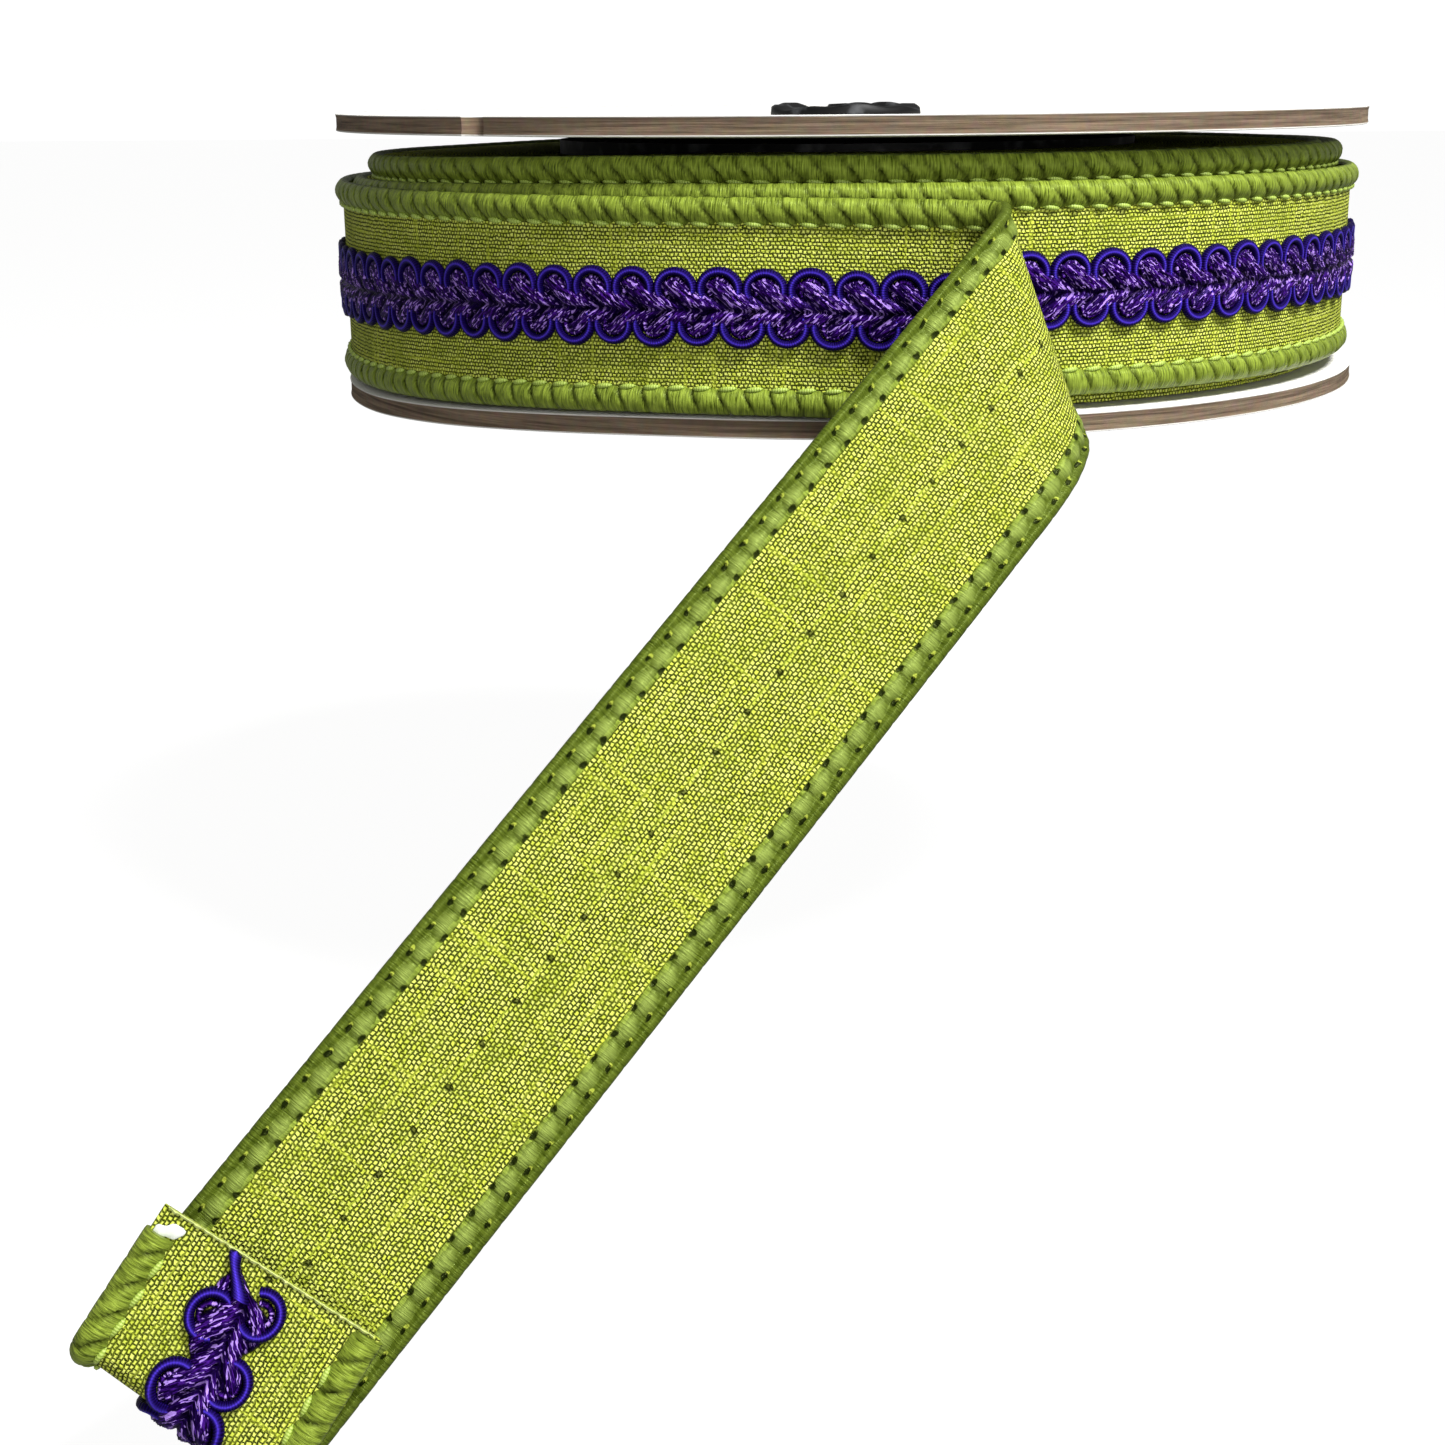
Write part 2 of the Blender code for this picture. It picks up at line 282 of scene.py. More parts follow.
def on_ribbon(along, across, out):
    """Place points given as distances along, across and out of the ribbon's face.

    The line across the ribbon through station s passes a point at along = s + lean
    times across, so s is found by repeating s = along - lean(s) * across. The place is
    the station's point, plus across times (width + lean * direction), plus out times
    the face's normal, in metres. Points on the roll are then settled.
    """
    along, across, out = np.broadcast_arrays(
        *(np.asarray(value, dtype=float) for value in (along, across, out)))
    station = along.copy()
    for _ in range(24):
        station = along - np.interp(station, PATH[:, 0], PATH[:, 10]) * across
    values = np.stack(
        [np.interp(station, PATH[:, 0], PATH[:, column]) for column in range(1, 11)], axis=-1)
    point, direction, width = values[..., 0:3], values[..., 3:6], values[..., 6:9]
    lean = values[..., 9:10]
    normal = np.cross(direction, width)
    place = point + across[..., None] * (width + lean * direction) + out[..., None] * normal
    place = np.where(station[..., None] < 0.0, settle(place), place)
    return place * MM


# %% [markdown]
# ## From a grid of points to a mesh
# Every piece below is a grid of points, computed at once with numpy. One function joins
# the grid into faces, closes it where it runs round, caps its ends and turns the faces
# outwards. It also writes a UV map in millimetres, so a weave keeps its real scale.


# %% Mesh helpers
def grid_uv(rows, columns):
    """The row's and the column's number of each grid point, as (rows, columns, 2)."""
    return np.stack(np.meshgrid(rows, columns, indexing="ij"), axis=-1)


def grid_faces(rows, columns, ring_rows):
    """Quads of a grid whose columns run round, as (quads, 4), and their (row, column)."""
    i, j = np.meshgrid(
        np.arange(rows if ring_rows else rows - 1), np.arange(columns), indexing="ij")
    i, j = i.ravel(), j.ravel()
    next_i, next_j = (i + 1) % rows, (j + 1) % columns
    quads = np.stack((
        i * columns + j, next_i * columns + j,
        next_i * columns + next_j, i * columns + next_j), axis=1)
    return quads, i, j


def signed_volume(points, quads):
    """Volume under the quads: a sixth of the sum of each triangle's triple product."""
    a, b, c, d = (points[quads[:, k]] for k in range(4))
    first = np.einsum("ij,ij->i", a, np.cross(b, c)).sum()
    return (first + np.einsum("ij,ij->i", a, np.cross(c, d)).sum()) / 6.0


def add_piece(name, points, uv, material, slot, nodes=(), ring_rows=False, **shades):
    """Make an object of a grid (rows, columns, 3), or of many grids with one more axis.

    The columns run round. The rows do too where ring_rows says so, and otherwise both
    ends are capped. uv is in millimetres and has one number more wherever the grid runs
    round. A grid that turns out to be inside out has its faces turned round. The piece
    replaces the solids named in nodes. Each of the shades is a value for each point,
    kept as an attribute that the material reads.
    """
    if points.ndim == 3:
        points, uv = points[None], uv[None]
    copies, rows, columns, _ = points.shape
    flat = points.reshape(-1, 3)
    quads, i, j = grid_faces(rows, columns, ring_rows)
    corner_rows = np.stack((i, i + 1, i + 1, i), axis=1)
    corner_columns = np.stack((j, j, j + 1, j + 1), axis=1)
    first = np.arange(copies) * rows * columns
    all_quads = (quads[None] + first[:, None, None]).reshape(-1, 4)
    all_uv = uv[:, corner_rows, corner_columns].reshape(-1, 4, 2)
    ends = []
    if not ring_rows:
        start = first[:, None] + np.arange(columns)
        last = start[:, ::-1] + (rows - 1) * columns
        ends = np.stack((start, last), axis=1).reshape(-1, columns).tolist()
    if signed_volume(flat, all_quads) < 0.0:
        all_quads = all_quads[:, ::-1]
        all_uv = all_uv[:, ::-1]
        ends = [end[::-1] for end in ends]
    mesh = bpy.data.meshes.new(name)
    mesh.from_pydata(flat, [], all_quads.tolist() + ends)
    layer = mesh.uv_layers.new(name="ribbon")
    values = np.zeros((len(mesh.loops), 2))
    values[:all_quads.size] = all_uv.reshape(-1, 2)
    layer.data.foreach_set("uv", (values * MM).ravel())
    for shade, value in shades.items():
        attribute = mesh.attributes.new(shade, "FLOAT", "POINT")
        attribute.data.foreach_set("value", np.broadcast_to(value, points.shape[:-1]).ravel())
    mesh.shade_smooth()
    mesh.set_sharp_from_angle(angle=math.radians(60.0))
    mesh.materials.append(material)
    piece = bpy.data.objects.new(name, mesh)
    bpy.context.scene.collection.objects.link(piece)
    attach(piece, "root")
    if nodes:
        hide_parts(*nodes)
    triangles = sum(len(face.vertices) - 2 for face in mesh.polygons)
    print(f"{name}: {triangles} triangles")
    return piece


def outline_lengths(outline):
    """Running length round a closed outline (points, 2), with its full length last."""
    closed = np.concatenate((outline, outline[:1]))
    steps = np.linalg.norm(np.diff(closed, axis=0), axis=1)
    return np.concatenate(((0.0,), np.cumsum(steps)))


# %% [markdown]
# ## Materials: a helper
# One small function adds a node, sets its values and links its inputs. Colours are given
# as the sRGB hex values that a colour picker shows, and turned to linear by one function.
# Most surfaces here are layers of colour, each laid over the last by its own share.


# %% Material helpers
def hex_colour(code):
    """sRGB hex to linear RGBA: the sRGB curve undone channel by channel."""
    value = np.array([int(code[i:i + 2], 16) for i in (1, 3, 5)]) / 255.0
    linear = np.where(value <= 0.04045, value / 12.92, ((value + 0.055) / 1.055) ** 2.4)
    return (*linear.tolist(), 1.0)


def add_node(tree, kind, inputs=(), output=0, **settings):
    """Add a node, set its properties and its inputs, and return one of its outputs.

    The inputs are a row of values for the first sockets, or a table of sockets by name or
    number. A value is a number, a vector, a link from another node or a colour's hex code.
    """
    node = tree.nodes.new("ShaderNode" + kind)
    for name, value in settings.items():
        setattr(node, name, value)
    for socket, value in inputs.items() if isinstance(inputs, dict) else enumerate(inputs):
        if isinstance(value, bpy.types.NodeSocket):
            tree.links.new(value, node.inputs[socket])
        else:
            node.inputs[socket].default_value = hex_colour(value) if isinstance(value, str) else value
    return node.outputs[output]


def layered(tree, colour, *layers, **settings):
    """Colours laid over a first one, each as (share, colour) by a Mix node.

    A Mix node has its share in socket 0, its colours in 6 and 7, its result in output 2.
    """
    for share, upper in layers:
        colour = add_node(
            tree, "Mix", {0: share, 6: colour, 7: upper}, 2, data_type="RGBA", **settings)
    return colour


def new_material(name, roughness, specular, tint="#ffffff"):
    """A Principled material with its constant values on the shader's own sockets.

    The tint colours the shine, as light that passes between dyed threads is coloured.
    """
    material = bpy.data.materials.new(name)
    material.use_nodes = True
    shader = material.node_tree.nodes["Principled BSDF"]
    shader.inputs["Roughness"].default_value = roughness
    shader.inputs["Metallic"].default_value = 0.0
    shader.inputs["Specular IOR Level"].default_value = specular
    shader.inputs["Specular Tint"].default_value = hex_colour(tint)
    return material, material.node_tree


def link_surface(tree, colour, height=None, strength=0.0, depth=0.0):
    """Link a colour to the shader, and a height through a bump, its depth in millimetres."""
    shader = tree.nodes["Principled BSDF"]
    tree.links.new(colour, shader.inputs["Base Color"])
    if height is not None:
        bump = add_node(tree, "Bump", {
            "Height": height, "Strength": strength, "Distance": depth * MM})
        tree.links.new(bump, shader.inputs["Normal"])


def ribbon_uv(tree, scale_u, scale_v, shift=(0.0, 0.0)):
    """The ribbon's own UV in millimetres, times the two scales."""
    uv = add_node(tree, "UVMap", uv_map="ribbon")
    return add_node(tree, "Mapping", {
        "Vector": uv, "Location": (*shift, 0.0), "Scale": (scale_u / MM, scale_v / MM, 1.0)})


def ribbon_noise(tree, scale_u, scale_v, detail, distortion=0.0, shift=(0.0, 0.0)):
    """Noise drawn on the ribbon, its two scales in cells a millimetre."""
    place = ribbon_uv(tree, scale_u, scale_v, shift)
    return add_node(tree, "TexNoise", {
        "Vector": place, "Scale": 1.0, "Detail": detail, "Distortion": distortion})


HAND_STITCH_SHIFT = 0.9


def row_of_spots(tree, parts, pitch, shift, centre, length, width):
    """A row of soft spots along U: 1 in each spot's middle, 0 outside its oval.

    parts is the separated UV in millimetres; the offset along is the distance to the
    nearest whole number of pitches, the offset across is the distance to the centre.
    """
    turns = add_node(tree, "Math", (parts["X"], 1.0 / pitch, shift / pitch), operation="MULTIPLY_ADD")
    along = add_node(tree, "Math", (turns,), operation="FRACT")
    along = add_node(tree, "Math", (along, 0.5), operation="SUBTRACT")
    along = add_node(tree, "Math", (along, pitch / (0.5 * length)), operation="MULTIPLY")
    middle = centre + 0.5 * HAND_STITCH_SHIFT
    across = add_node(tree, "Math", (parts["Y"], middle), operation="SUBTRACT")
    across = add_node(tree, "Math", (across, 0.5 * width), operation="DIVIDE")
    square = add_node(tree, "Math", (along, along), operation="MULTIPLY")
    square = add_node(tree, "Math", (across, across, square), operation="MULTIPLY_ADD")
    square = add_node(tree, "Math", (square, 1.3), operation="MULTIPLY")
    spot = add_node(tree, "Math", (1.6, square), operation="SUBTRACT", use_clamp=True)
    return add_node(tree, "Math", (spot, 1.0, 0.1), operation="SMOOTH_MIN")


def separated_uv(tree):
    """The ribbon's UV in millimetres, shifted a little by noise and split in two."""
    place = ribbon_uv(tree, 1.0, 1.0)
    noise = add_node(tree, "TexNoise", {"Vector": place, "Scale": 0.9, "Detail": 2.0}, "Color")
    moved = add_node(
        tree, "VectorMath", (noise, (HAND_STITCH_SHIFT,) * 3, place), operation="MULTIPLY_ADD")
    return add_node(tree, "SeparateXYZ", (moved,)).node.outputs


# %% [markdown]
# ## Dupion cloth
# The cloth is a plain weave of two differently coloured yarns, a bright lime one that
# lies on top in small bumps, and a dark olive one that shows between them. The near black
# in the gaps between the bumps is partly that yarn and partly painted shade. The bumps
# stand in staggered rows about half a millimetre apart, which a brick pattern draws well.
# Thick places in the yarn, called slubs, make the light lines across and along the cloth.

# %% Dupion cloth material
YARN_LENGTH = 0.54
YARN_ROW = 0.46
YARN_WAVER = 0.8
SEAM_SHIFT = 3.4


def dupion_cloth():
    """Plain weave: bricks for the yarn bumps, stretched noise for the slubs.

    The braid's seam shows on the back as a row of needle marks with a light thread
    between them, along the ribbon's middle; the marks' dark is painted shade in the holes.
    On the face the braid covers it.
    """
    material, tree = new_material("dupion plain weave", 0.65, 0.07, "#a0b010")
    place = ribbon_uv(tree, 1.0 / YARN_LENGTH, 1.0 / YARN_LENGTH)
    waver = add_node(tree, "TexNoise", {"Vector": place, "Scale": 0.8, "Detail": 1.0}, "Color")
    place = add_node(tree, "VectorMath", (waver, (YARN_WAVER,) * 3, place), operation="MULTIPLY_ADD")
    weave = add_node(tree, "TexBrick", {
        "Vector": place,
        "Color1": "#ecf478",
        "Color2": "#d0dc4a",
        # The Mortar is the gaps between the yarn bumps: partly the dark yarn, partly painted shade.
        "Mortar": "#101e00",
        "Scale": 1.0,
        "Mortar Size": 0.29,
        "Mortar Smooth": 1.0,
        "Bias": -0.1,
        "Brick Width": 1.0,
        "Row Height": YARN_ROW / YARN_LENGTH,
    }, "Color", offset=0.5, offset_frequency=2)
    cross_slub = ribbon_noise(tree, 1.7, 0.06, 2.0)
    long_slub = ribbon_noise(tree, 0.05, 1.9, 2.0)
    slub = add_node(tree, "Math", (cross_slub, long_slub), operation="MAXIMUM")
    slub = add_node(tree, "MapRange", (slub, 0.58, 0.74, 0.0, 0.7))
    broad = ribbon_noise(tree, 0.16, 0.35, 4.0)
    shade = add_node(tree, "MapRange", (broad, 0.42, 0.70, 0.0, 0.38))
    parts = separated_uv(tree)
    thread = row_of_spots(tree, parts, GIMP_PITCH, SEAM_SHIFT, 0.12, 4.6, 0.30)
    thread = add_node(tree, "Math", (thread, 0.6), operation="MULTIPLY")
    marks = row_of_spots(tree, parts, GIMP_PITCH, SEAM_SHIFT + 0.5 * GIMP_PITCH, -0.05, 0.75, 0.9)
    # The needle marks' dark is painted shade in the holes.
    painted_recess_shade = add_node(tree, "Math", (marks, 0.85), operation="MULTIPLY")
    colour = layered(
        tree, weave, (slub, "#cfdc45"), (shade, "#76861a"), (thread, "#c8d848"), (painted_recess_shade, "#1c2408"))
    height = add_node(tree, "Math", (1.0, weave.node.outputs["Fac"]), operation="SUBTRACT")
    height = add_node(tree, "Math", (slub, 0.5, height), operation="MULTIPLY_ADD")
    height = add_node(tree, "Math", (marks, -1.5, height), operation="MULTIPLY_ADD")
    link_surface(tree, colour, height, 1.0, 0.18)
    return material


DUPION = dupion_cloth()

# %% [markdown]
# ## Satin binding
# The edges are bound with a strip of olive green satin, gathered over a thin wire by its
# stitches. Satin is smooth and shiny because its threads float over several others, so
# fine streaks run across each gathered roll; their lighter colour is partly the threads'
# own and partly painted sheen, and the narrow grooves between the rolls are darkened with
# painted shade. At the inner border a row of light stitches shows on the face. On the back
# the same seam is a zigzag: light satin cells between pairs of needle holes, darkened
# with painted shade.

# %% Satin binding outline and material
STITCH_PITCH = 3.2
ROPE_SLANT = 0.75
LOWER_SLANT = -0.42

BINDING_OUTLINE = np.array((
    # from the inner border: across, out, share of the face's gathers, of the back's cells
    (0.00, 0.02, 0.5, 0.0),
    (0.28, 0.34, 0.9, 0.0),
    (0.58, 0.66, 1.0, 0.0),
    (0.95, 0.88, 1.0, 0.0),
    (1.35, 1.00, 1.0, 0.0),
    (1.80, 1.02, 0.9, 0.0),
    (2.25, 0.90, 0.7, 0.0),
    (2.65, 0.66, 0.5, 0.0),
    (2.95, 0.35, 0.3, 0.0),
    (3.14, 0.00, 0.2, 0.0),
    (3.14, -0.38, 0.1, 0.0),
    (2.96, -0.72, 0.0, 0.0),
    (2.62, -0.94, 0.0, 0.0),
    (2.22, -0.92, 0.0, 0.0),
    (1.95, -0.66, 0.0, 0.0),
    (1.75, -0.56, 0.0, 1.0),
    (1.45, -0.56, 0.0, 1.0),
    (1.10, -0.56, 0.0, 1.0),
    (0.75, -0.56, 0.0, 1.0),
    (0.40, -0.56, 0.0, 1.0),
    (0.10, -0.56, 0.0, 1.0),
    (-0.08, -0.52, 0.0, 0.0),
))
BINDING_LENGTHS = outline_lengths(BINDING_OUTLINE[:, :2])
# The back of the outline runs from its row 10 to its row 21, with the needle holes
# at rows 14 and 20.
BACK_START, OUTER_HOLES, INNER_HOLES, BACK_END = BINDING_LENGTHS[[10, 14, 20, 21]].tolist()
BACK_MIDDLE = 0.5 * (BACK_START + BACK_END)
BACK_HALF = 0.5 * (BACK_END - BACK_START)


def satin_binding():
    """Streaks partly painted as sheen and grooves in painted shade on the face; pale cells and needle
    holes in painted shade on the back.
    """
    material, tree = new_material("olive satin binding", 0.34, 0.36, "#c8dc78")
    groove = add_node(tree, "Attribute", (), "Fac", attribute_name="groove")
    pale = add_node(tree, "Attribute", (), "Fac", attribute_name="pale")
    streaks = ribbon_noise(tree, 5.0, 0.45, 3.0, 0.5)
    # The streaks are partly the satin's own floats and partly painted sheen.
    sheen_streak = add_node(tree, "MapRange", (streaks, 0.3, 0.7))
    patches = ribbon_noise(tree, 0.6, 0.7, 2.0)
    light = add_node(tree, "MapRange", (patches, 0.40, 0.75, 0.0, 0.4))
    parts = separated_uv(tree)
    back = add_node(tree, "Math", (parts["Y"], BACK_MIDDLE, BACK_HALF), operation="COMPARE")
    back = add_node(tree, "Math", (back, 0.72), operation="MULTIPLY")
    cells = add_node(tree, "Math", (sheen_streak, 0.5, 0.35), operation="MULTIPLY_ADD")
    cells = add_node(tree, "Math", (pale, cells), operation="MULTIPLY")
    # Painted shade in the narrow grooves between the gathers.
    painted_recess_shade = add_node(tree, "Math", (groove, 0.7), operation="POWER")
    half = 0.5 * STITCH_PITCH
    inner = row_of_spots(tree, parts, STITCH_PITCH, half, INNER_HOLES, 0.95, 0.7)
    outer = row_of_spots(tree, parts, STITCH_PITCH, half, OUTER_HOLES, 0.9, 0.55)
    specks = row_of_spots(tree, parts, STITCH_PITCH, half + 0.55, OUTER_HOLES, 0.5, 0.5)
    specks = add_node(tree, "Math", (specks, 0.45), operation="MULTIPLY")
    # The needle holes are darkened with painted shade.
    holes = add_node(tree, "Math", (inner, outer), operation="MAXIMUM")
    colour = layered(
        tree, "#2f3d02", (sheen_streak, "#98ac3e"), (light, "#a3b64a"), (back, "#2e3c04"),
        (cells, "#94a650"), (painted_recess_shade, "#0c1200"), (holes, "#101803"), (specks, "#dbe85a"))
    height = add_node(tree, "Math", (holes, -1.5, streaks), operation="MULTIPLY_ADD")
    link_surface(tree, colour, height, 0.9, 0.22)
    return material


SATIN = satin_binding()
print("binding girth:", round(float(BINDING_LENGTHS[-1]), 1), "mm")


# %% Stitch thread material
def stitch_thread():
    """Twisted rayon thread: light, smooth, with fine slanted rings."""
    material, tree = new_material("light green stitch thread", 0.4, 0.3)
    rings = add_node(tree, "TexWave", {
        "Vector": ribbon_uv(tree, 1.0, 0.6), "Scale": 1.3, "Distortion": 0.6,
    }, "Fac", bands_direction="X")
    link_surface(tree, layered(tree, "#8fa83c", (rings, "#b9cc68")), rings, 0.4, 0.06)
    return material


STITCH_THREAD = stitch_thread()

# %% [markdown]
# ## Violet braid
# The gimp has two yarns: a cord wrapped with dark blue violet satin that makes the loops
# at both edges, and bundles of shiny untwisted violet rayon that are plaited between
# them. Rayon glints in small bright dashes where a thread faces the light; here the
# glints are painted, and so are the highlights on the cord's and the strands' crests and
# the near black shade in the plait's gaps.

# %% Braid materials
# The width of a bundle: the single threads are about a fifth of this, too fine to show.
GIMP_THREAD = 0.24


def wrapped_cord():
    """Satin wrapped round a core: fine rings across the cord, a painted highlight on its crest."""
    material, tree = new_material("violet wrapped cord", 0.36, 0.12, "#5a48ff")
    rings = add_node(tree, "TexWave", {
        "Vector": ribbon_uv(tree, 1.0, 0.25), "Scale": 1.15, "Distortion": 1.2,
        "Detail": 1.0, "Detail Scale": 2.0,
    }, "Fac", bands_direction="X")
    crest = add_node(tree, "Attribute", (), "Fac", attribute_name="crest")
    # Painted highlight along the crest of the cord.
    light = add_node(tree, "Math", (crest, 3.5), operation="POWER")
    colour = layered(tree, "#07011e", (rings, "#150648"), (light, "#4c36c4"))
    link_surface(tree, colour, rings, 0.5, 0.08)
    return material


def rayon_plait():
    """Loose shiny threads: painted highlight on the strands' crests, painted shade near black in the
    gaps.
    """
    material, tree = new_material("violet rayon plait", 0.30, 0.15, "#8450ff")
    crest = add_node(tree, "Attribute", (), "Fac", attribute_name="crest")
    streaks = ribbon_noise(tree, 0.8, 1.0 / GIMP_THREAD, 2.0, 0.7)
    glints = ribbon_noise(tree, 1.0, 2.7, 0.0, 1.0, (7.0, 3.0))
    # The tone is painted light: lighter on the crests, near black in the gaps.
    level = add_node(tree, "Math", (crest, 0.32, streaks), operation="MULTIPLY_ADD")
    tone = add_node(tree, "ValToRGB", (level,))
    ramp = tone.node.color_ramp.elements
    ramp[0].position, ramp[0].color = 0.50, hex_colour("#03000c")
    ramp[1].position, ramp[1].color = 0.98, hex_colour("#4e1e90")
    ramp.new(0.72).color = hex_colour("#140336")
    # Painted glints: bright dashes on the crests.
    glint = add_node(tree, "MapRange", (glints, 0.62, 0.66))
    glint = add_node(tree, "Math", (glint, crest), operation="MULTIPLY")
    link_surface(tree, layered(tree, tone, (glint, "#c49cff")), streaks, 0.6, 0.22)
    return material


CORD = wrapped_cord()
PLAIT = rayon_plait()

# %% [markdown]
# ## Board, paper and the black hub
# The flanges are punched from grey chipboard with white paper on both faces. The rim
# shows the board's layers as fine level lines, and the paper as a thin pale line at each
# edge. The hub is a dull black plastic plug.

# %% Spool materials
LAYER_HEIGHT = 0.35


def chipboard():
    """Layers of grey-brown pulp on the rim, and paper where its attribute says so."""
    material, tree = new_material("paper-faced chipboard", 0.85, 0.25)
    place = add_node(tree, "TexCoord", (), "Object")
    level = add_node(tree, "Mapping", {
        "Vector": place, "Scale": (60.0, 60.0, 1.0 / (LAYER_HEIGHT * MM))})
    layers = add_node(tree, "TexNoise", {
        "Vector": level, "Scale": 1.0, "Detail": 5.0, "Roughness": 0.65})
    pulp = add_node(tree, "TexNoise", {"Vector": place, "Scale": 900.0, "Detail": 3.0})
    tone = add_node(tree, "ValToRGB", (layers,))
    ramp = tone.node.color_ramp.elements
    ramp[0].position, ramp[0].color = 0.33, hex_colour("#43362a")
    ramp[1].position, ramp[1].color = 0.66, hex_colour("#94806a")
    board = layered(tree, tone, (0.25, "#6a5a48"))
    board = layered(tree, board, (0.25, pulp.node.outputs["Color"]), blend_type="SOFT_LIGHT")
    paper = add_node(tree, "Attribute", (), "Fac", attribute_name="paper")
    colour = layered(tree, board, (paper, "#f4f2ec"))
    relief = add_node(tree, "Math", (pulp, 0.4, layers), operation="MULTIPLY_ADD")
    link_surface(tree, colour, relief, 0.7, 0.2)
    return material


def black_plastic():
    """Moulded plastic, dull, with paler patches from noise."""
    material, tree = new_material("black moulded plastic", 0.5, 0.25)
    place = add_node(tree, "TexCoord", (), "Object")
    pale_patch_noise = add_node(tree, "TexNoise", {"Vector": place, "Scale": 260.0, "Detail": 4.0})
    pale_patch = add_node(tree, "MapRange", (pale_patch_noise, 0.52, 0.75, 0.0, 0.5))
    link_surface(tree, layered(tree, "#060606", (pale_patch, "#707275")), pale_patch_noise, 0.4, 0.2)
    return material


BOARD = chipboard()
PLASTIC = black_plastic()

# %% [markdown]
# ## The flanges
# Each flange is a disc turned from a small profile. The paper stands a hair proud of the
# board, and the edge is a little uneven. The upper one has a round notch in its rim.
# Turning the profile as one grid keeps the rim smooth.


# %% Flange surface
FLANGE_DISH = 1.3
FLANGE_DROOP = 2.3


def flange_grid(bottom, hole_radius, notch):
    """A profile turned about Z: radius and height at each of many angles.

    The rim's radius has a small unevenness, a sum of two sines, and the notch takes a
    circle's depth out of it: the root of its radius squared less the offset squared. The
    upper disc is dished, its middle lowest, and the lower one droops at its left edge.
    Both grow with the square of the radius.
    """
    top, rim = bottom + FLANGE_THICKNESS, FLANGE_RADIUS
    profile = np.array((
        # radius, height, share of the rim's unevenness, paper
        (hole_radius, bottom, 0.0, 1.0),
        (0.3 * rim, bottom, 0.0, 1.0),
        (0.55 * rim, bottom, 0.0, 1.0),
        (0.78 * rim, bottom, 0.0, 1.0),
        (rim - 3.0, bottom, 0.0, 1.0),
        (rim - 0.15, bottom, 1.0, 1.0),
        (rim, bottom + 0.08, 1.0, 1.0),
        (rim - 0.03, bottom + 0.24, 1.0, 0.0),
        (rim - 0.10, bottom + 0.60, 1.0, 0.0),
        (rim - 0.12, top - 0.60, 1.0, 0.0),
        (rim - 0.03, top - 0.24, 1.0, 0.0),
        (rim, top - 0.08, 1.0, 1.0),
        (rim - 0.15, top, 1.0, 1.0),
        (rim - 3.0, top, 0.0, 1.0),
        (0.78 * rim, top, 0.0, 1.0),
        (0.55 * rim, top, 0.0, 1.0),
        (0.3 * rim, top, 0.0, 1.0),
        (hole_radius, top, 0.0, 1.0),
    ))
    even = np.linspace(0.0, 2.0 * math.pi, 320, endpoint=False)
    notch_turn = math.radians(NOTCH_ANGLE) % (2.0 * math.pi)
    reach = 1.3 * NOTCH_RADIUS / FLANGE_RADIUS
    fine = np.linspace(notch_turn - reach, notch_turn + reach, 40)
    outside = np.abs(even - notch_turn) > reach
    turn = np.sort(np.concatenate((even[outside], fine)))
    wobble = 0.05 * np.sin(7.0 * turn + 0.4) + 0.03 * np.sin(23.0 * turn)
    offset = np.abs(turn - notch_turn) * FLANGE_RADIUS
    depth = np.sqrt(np.clip(NOTCH_RADIUS ** 2 - offset ** 2, 0.0, None))
    change = wobble - (depth if notch else 0.0) - 0.05
    radius = profile[None, :, 0] + change[:, None] * profile[None, :, 2]
    height = np.broadcast_to(profile[:, 1], radius.shape)
    points = turned(radius, height, turn[:, None])
    part = (radius / FLANGE_RADIUS) ** 2
    if notch:
        points[..., 2] -= FLANGE_DISH * (1.0 - part)
    else:
        points[..., 2] -= FLANGE_DROOP * settle_share(points[..., 0], points[..., 1]) * part
    return points * MM, turn, profile


def add_flange(name, node, bottom, hole_radius, notch):
    """One flange as a ring grid that replaces its solid."""
    points, turn, profile = flange_grid(bottom, hole_radius, notch)
    rows = np.append(turn, 2.0 * math.pi + turn[0]) * FLANGE_RADIUS
    uv = grid_uv(rows, outline_lengths(profile[:, :2]))
    add_piece(name, points, uv, BOARD, "board", (node,), ring_rows=True, paper=profile[:, 3])


add_flange("upper_flange", "spool_flange_top", FLANGE_TOP, HUB_RADIUS + 0.3, True)
add_flange("lower_flange", "spool_flange_bottom", 0.0, 0.05, False)

# %% [markdown]
# ## The hub
# Only a low black disc shows above the upper flange, with paler patches, and it looks
# uneven. It is a dished plug turned about the axis, with its rim rising and falling a little.


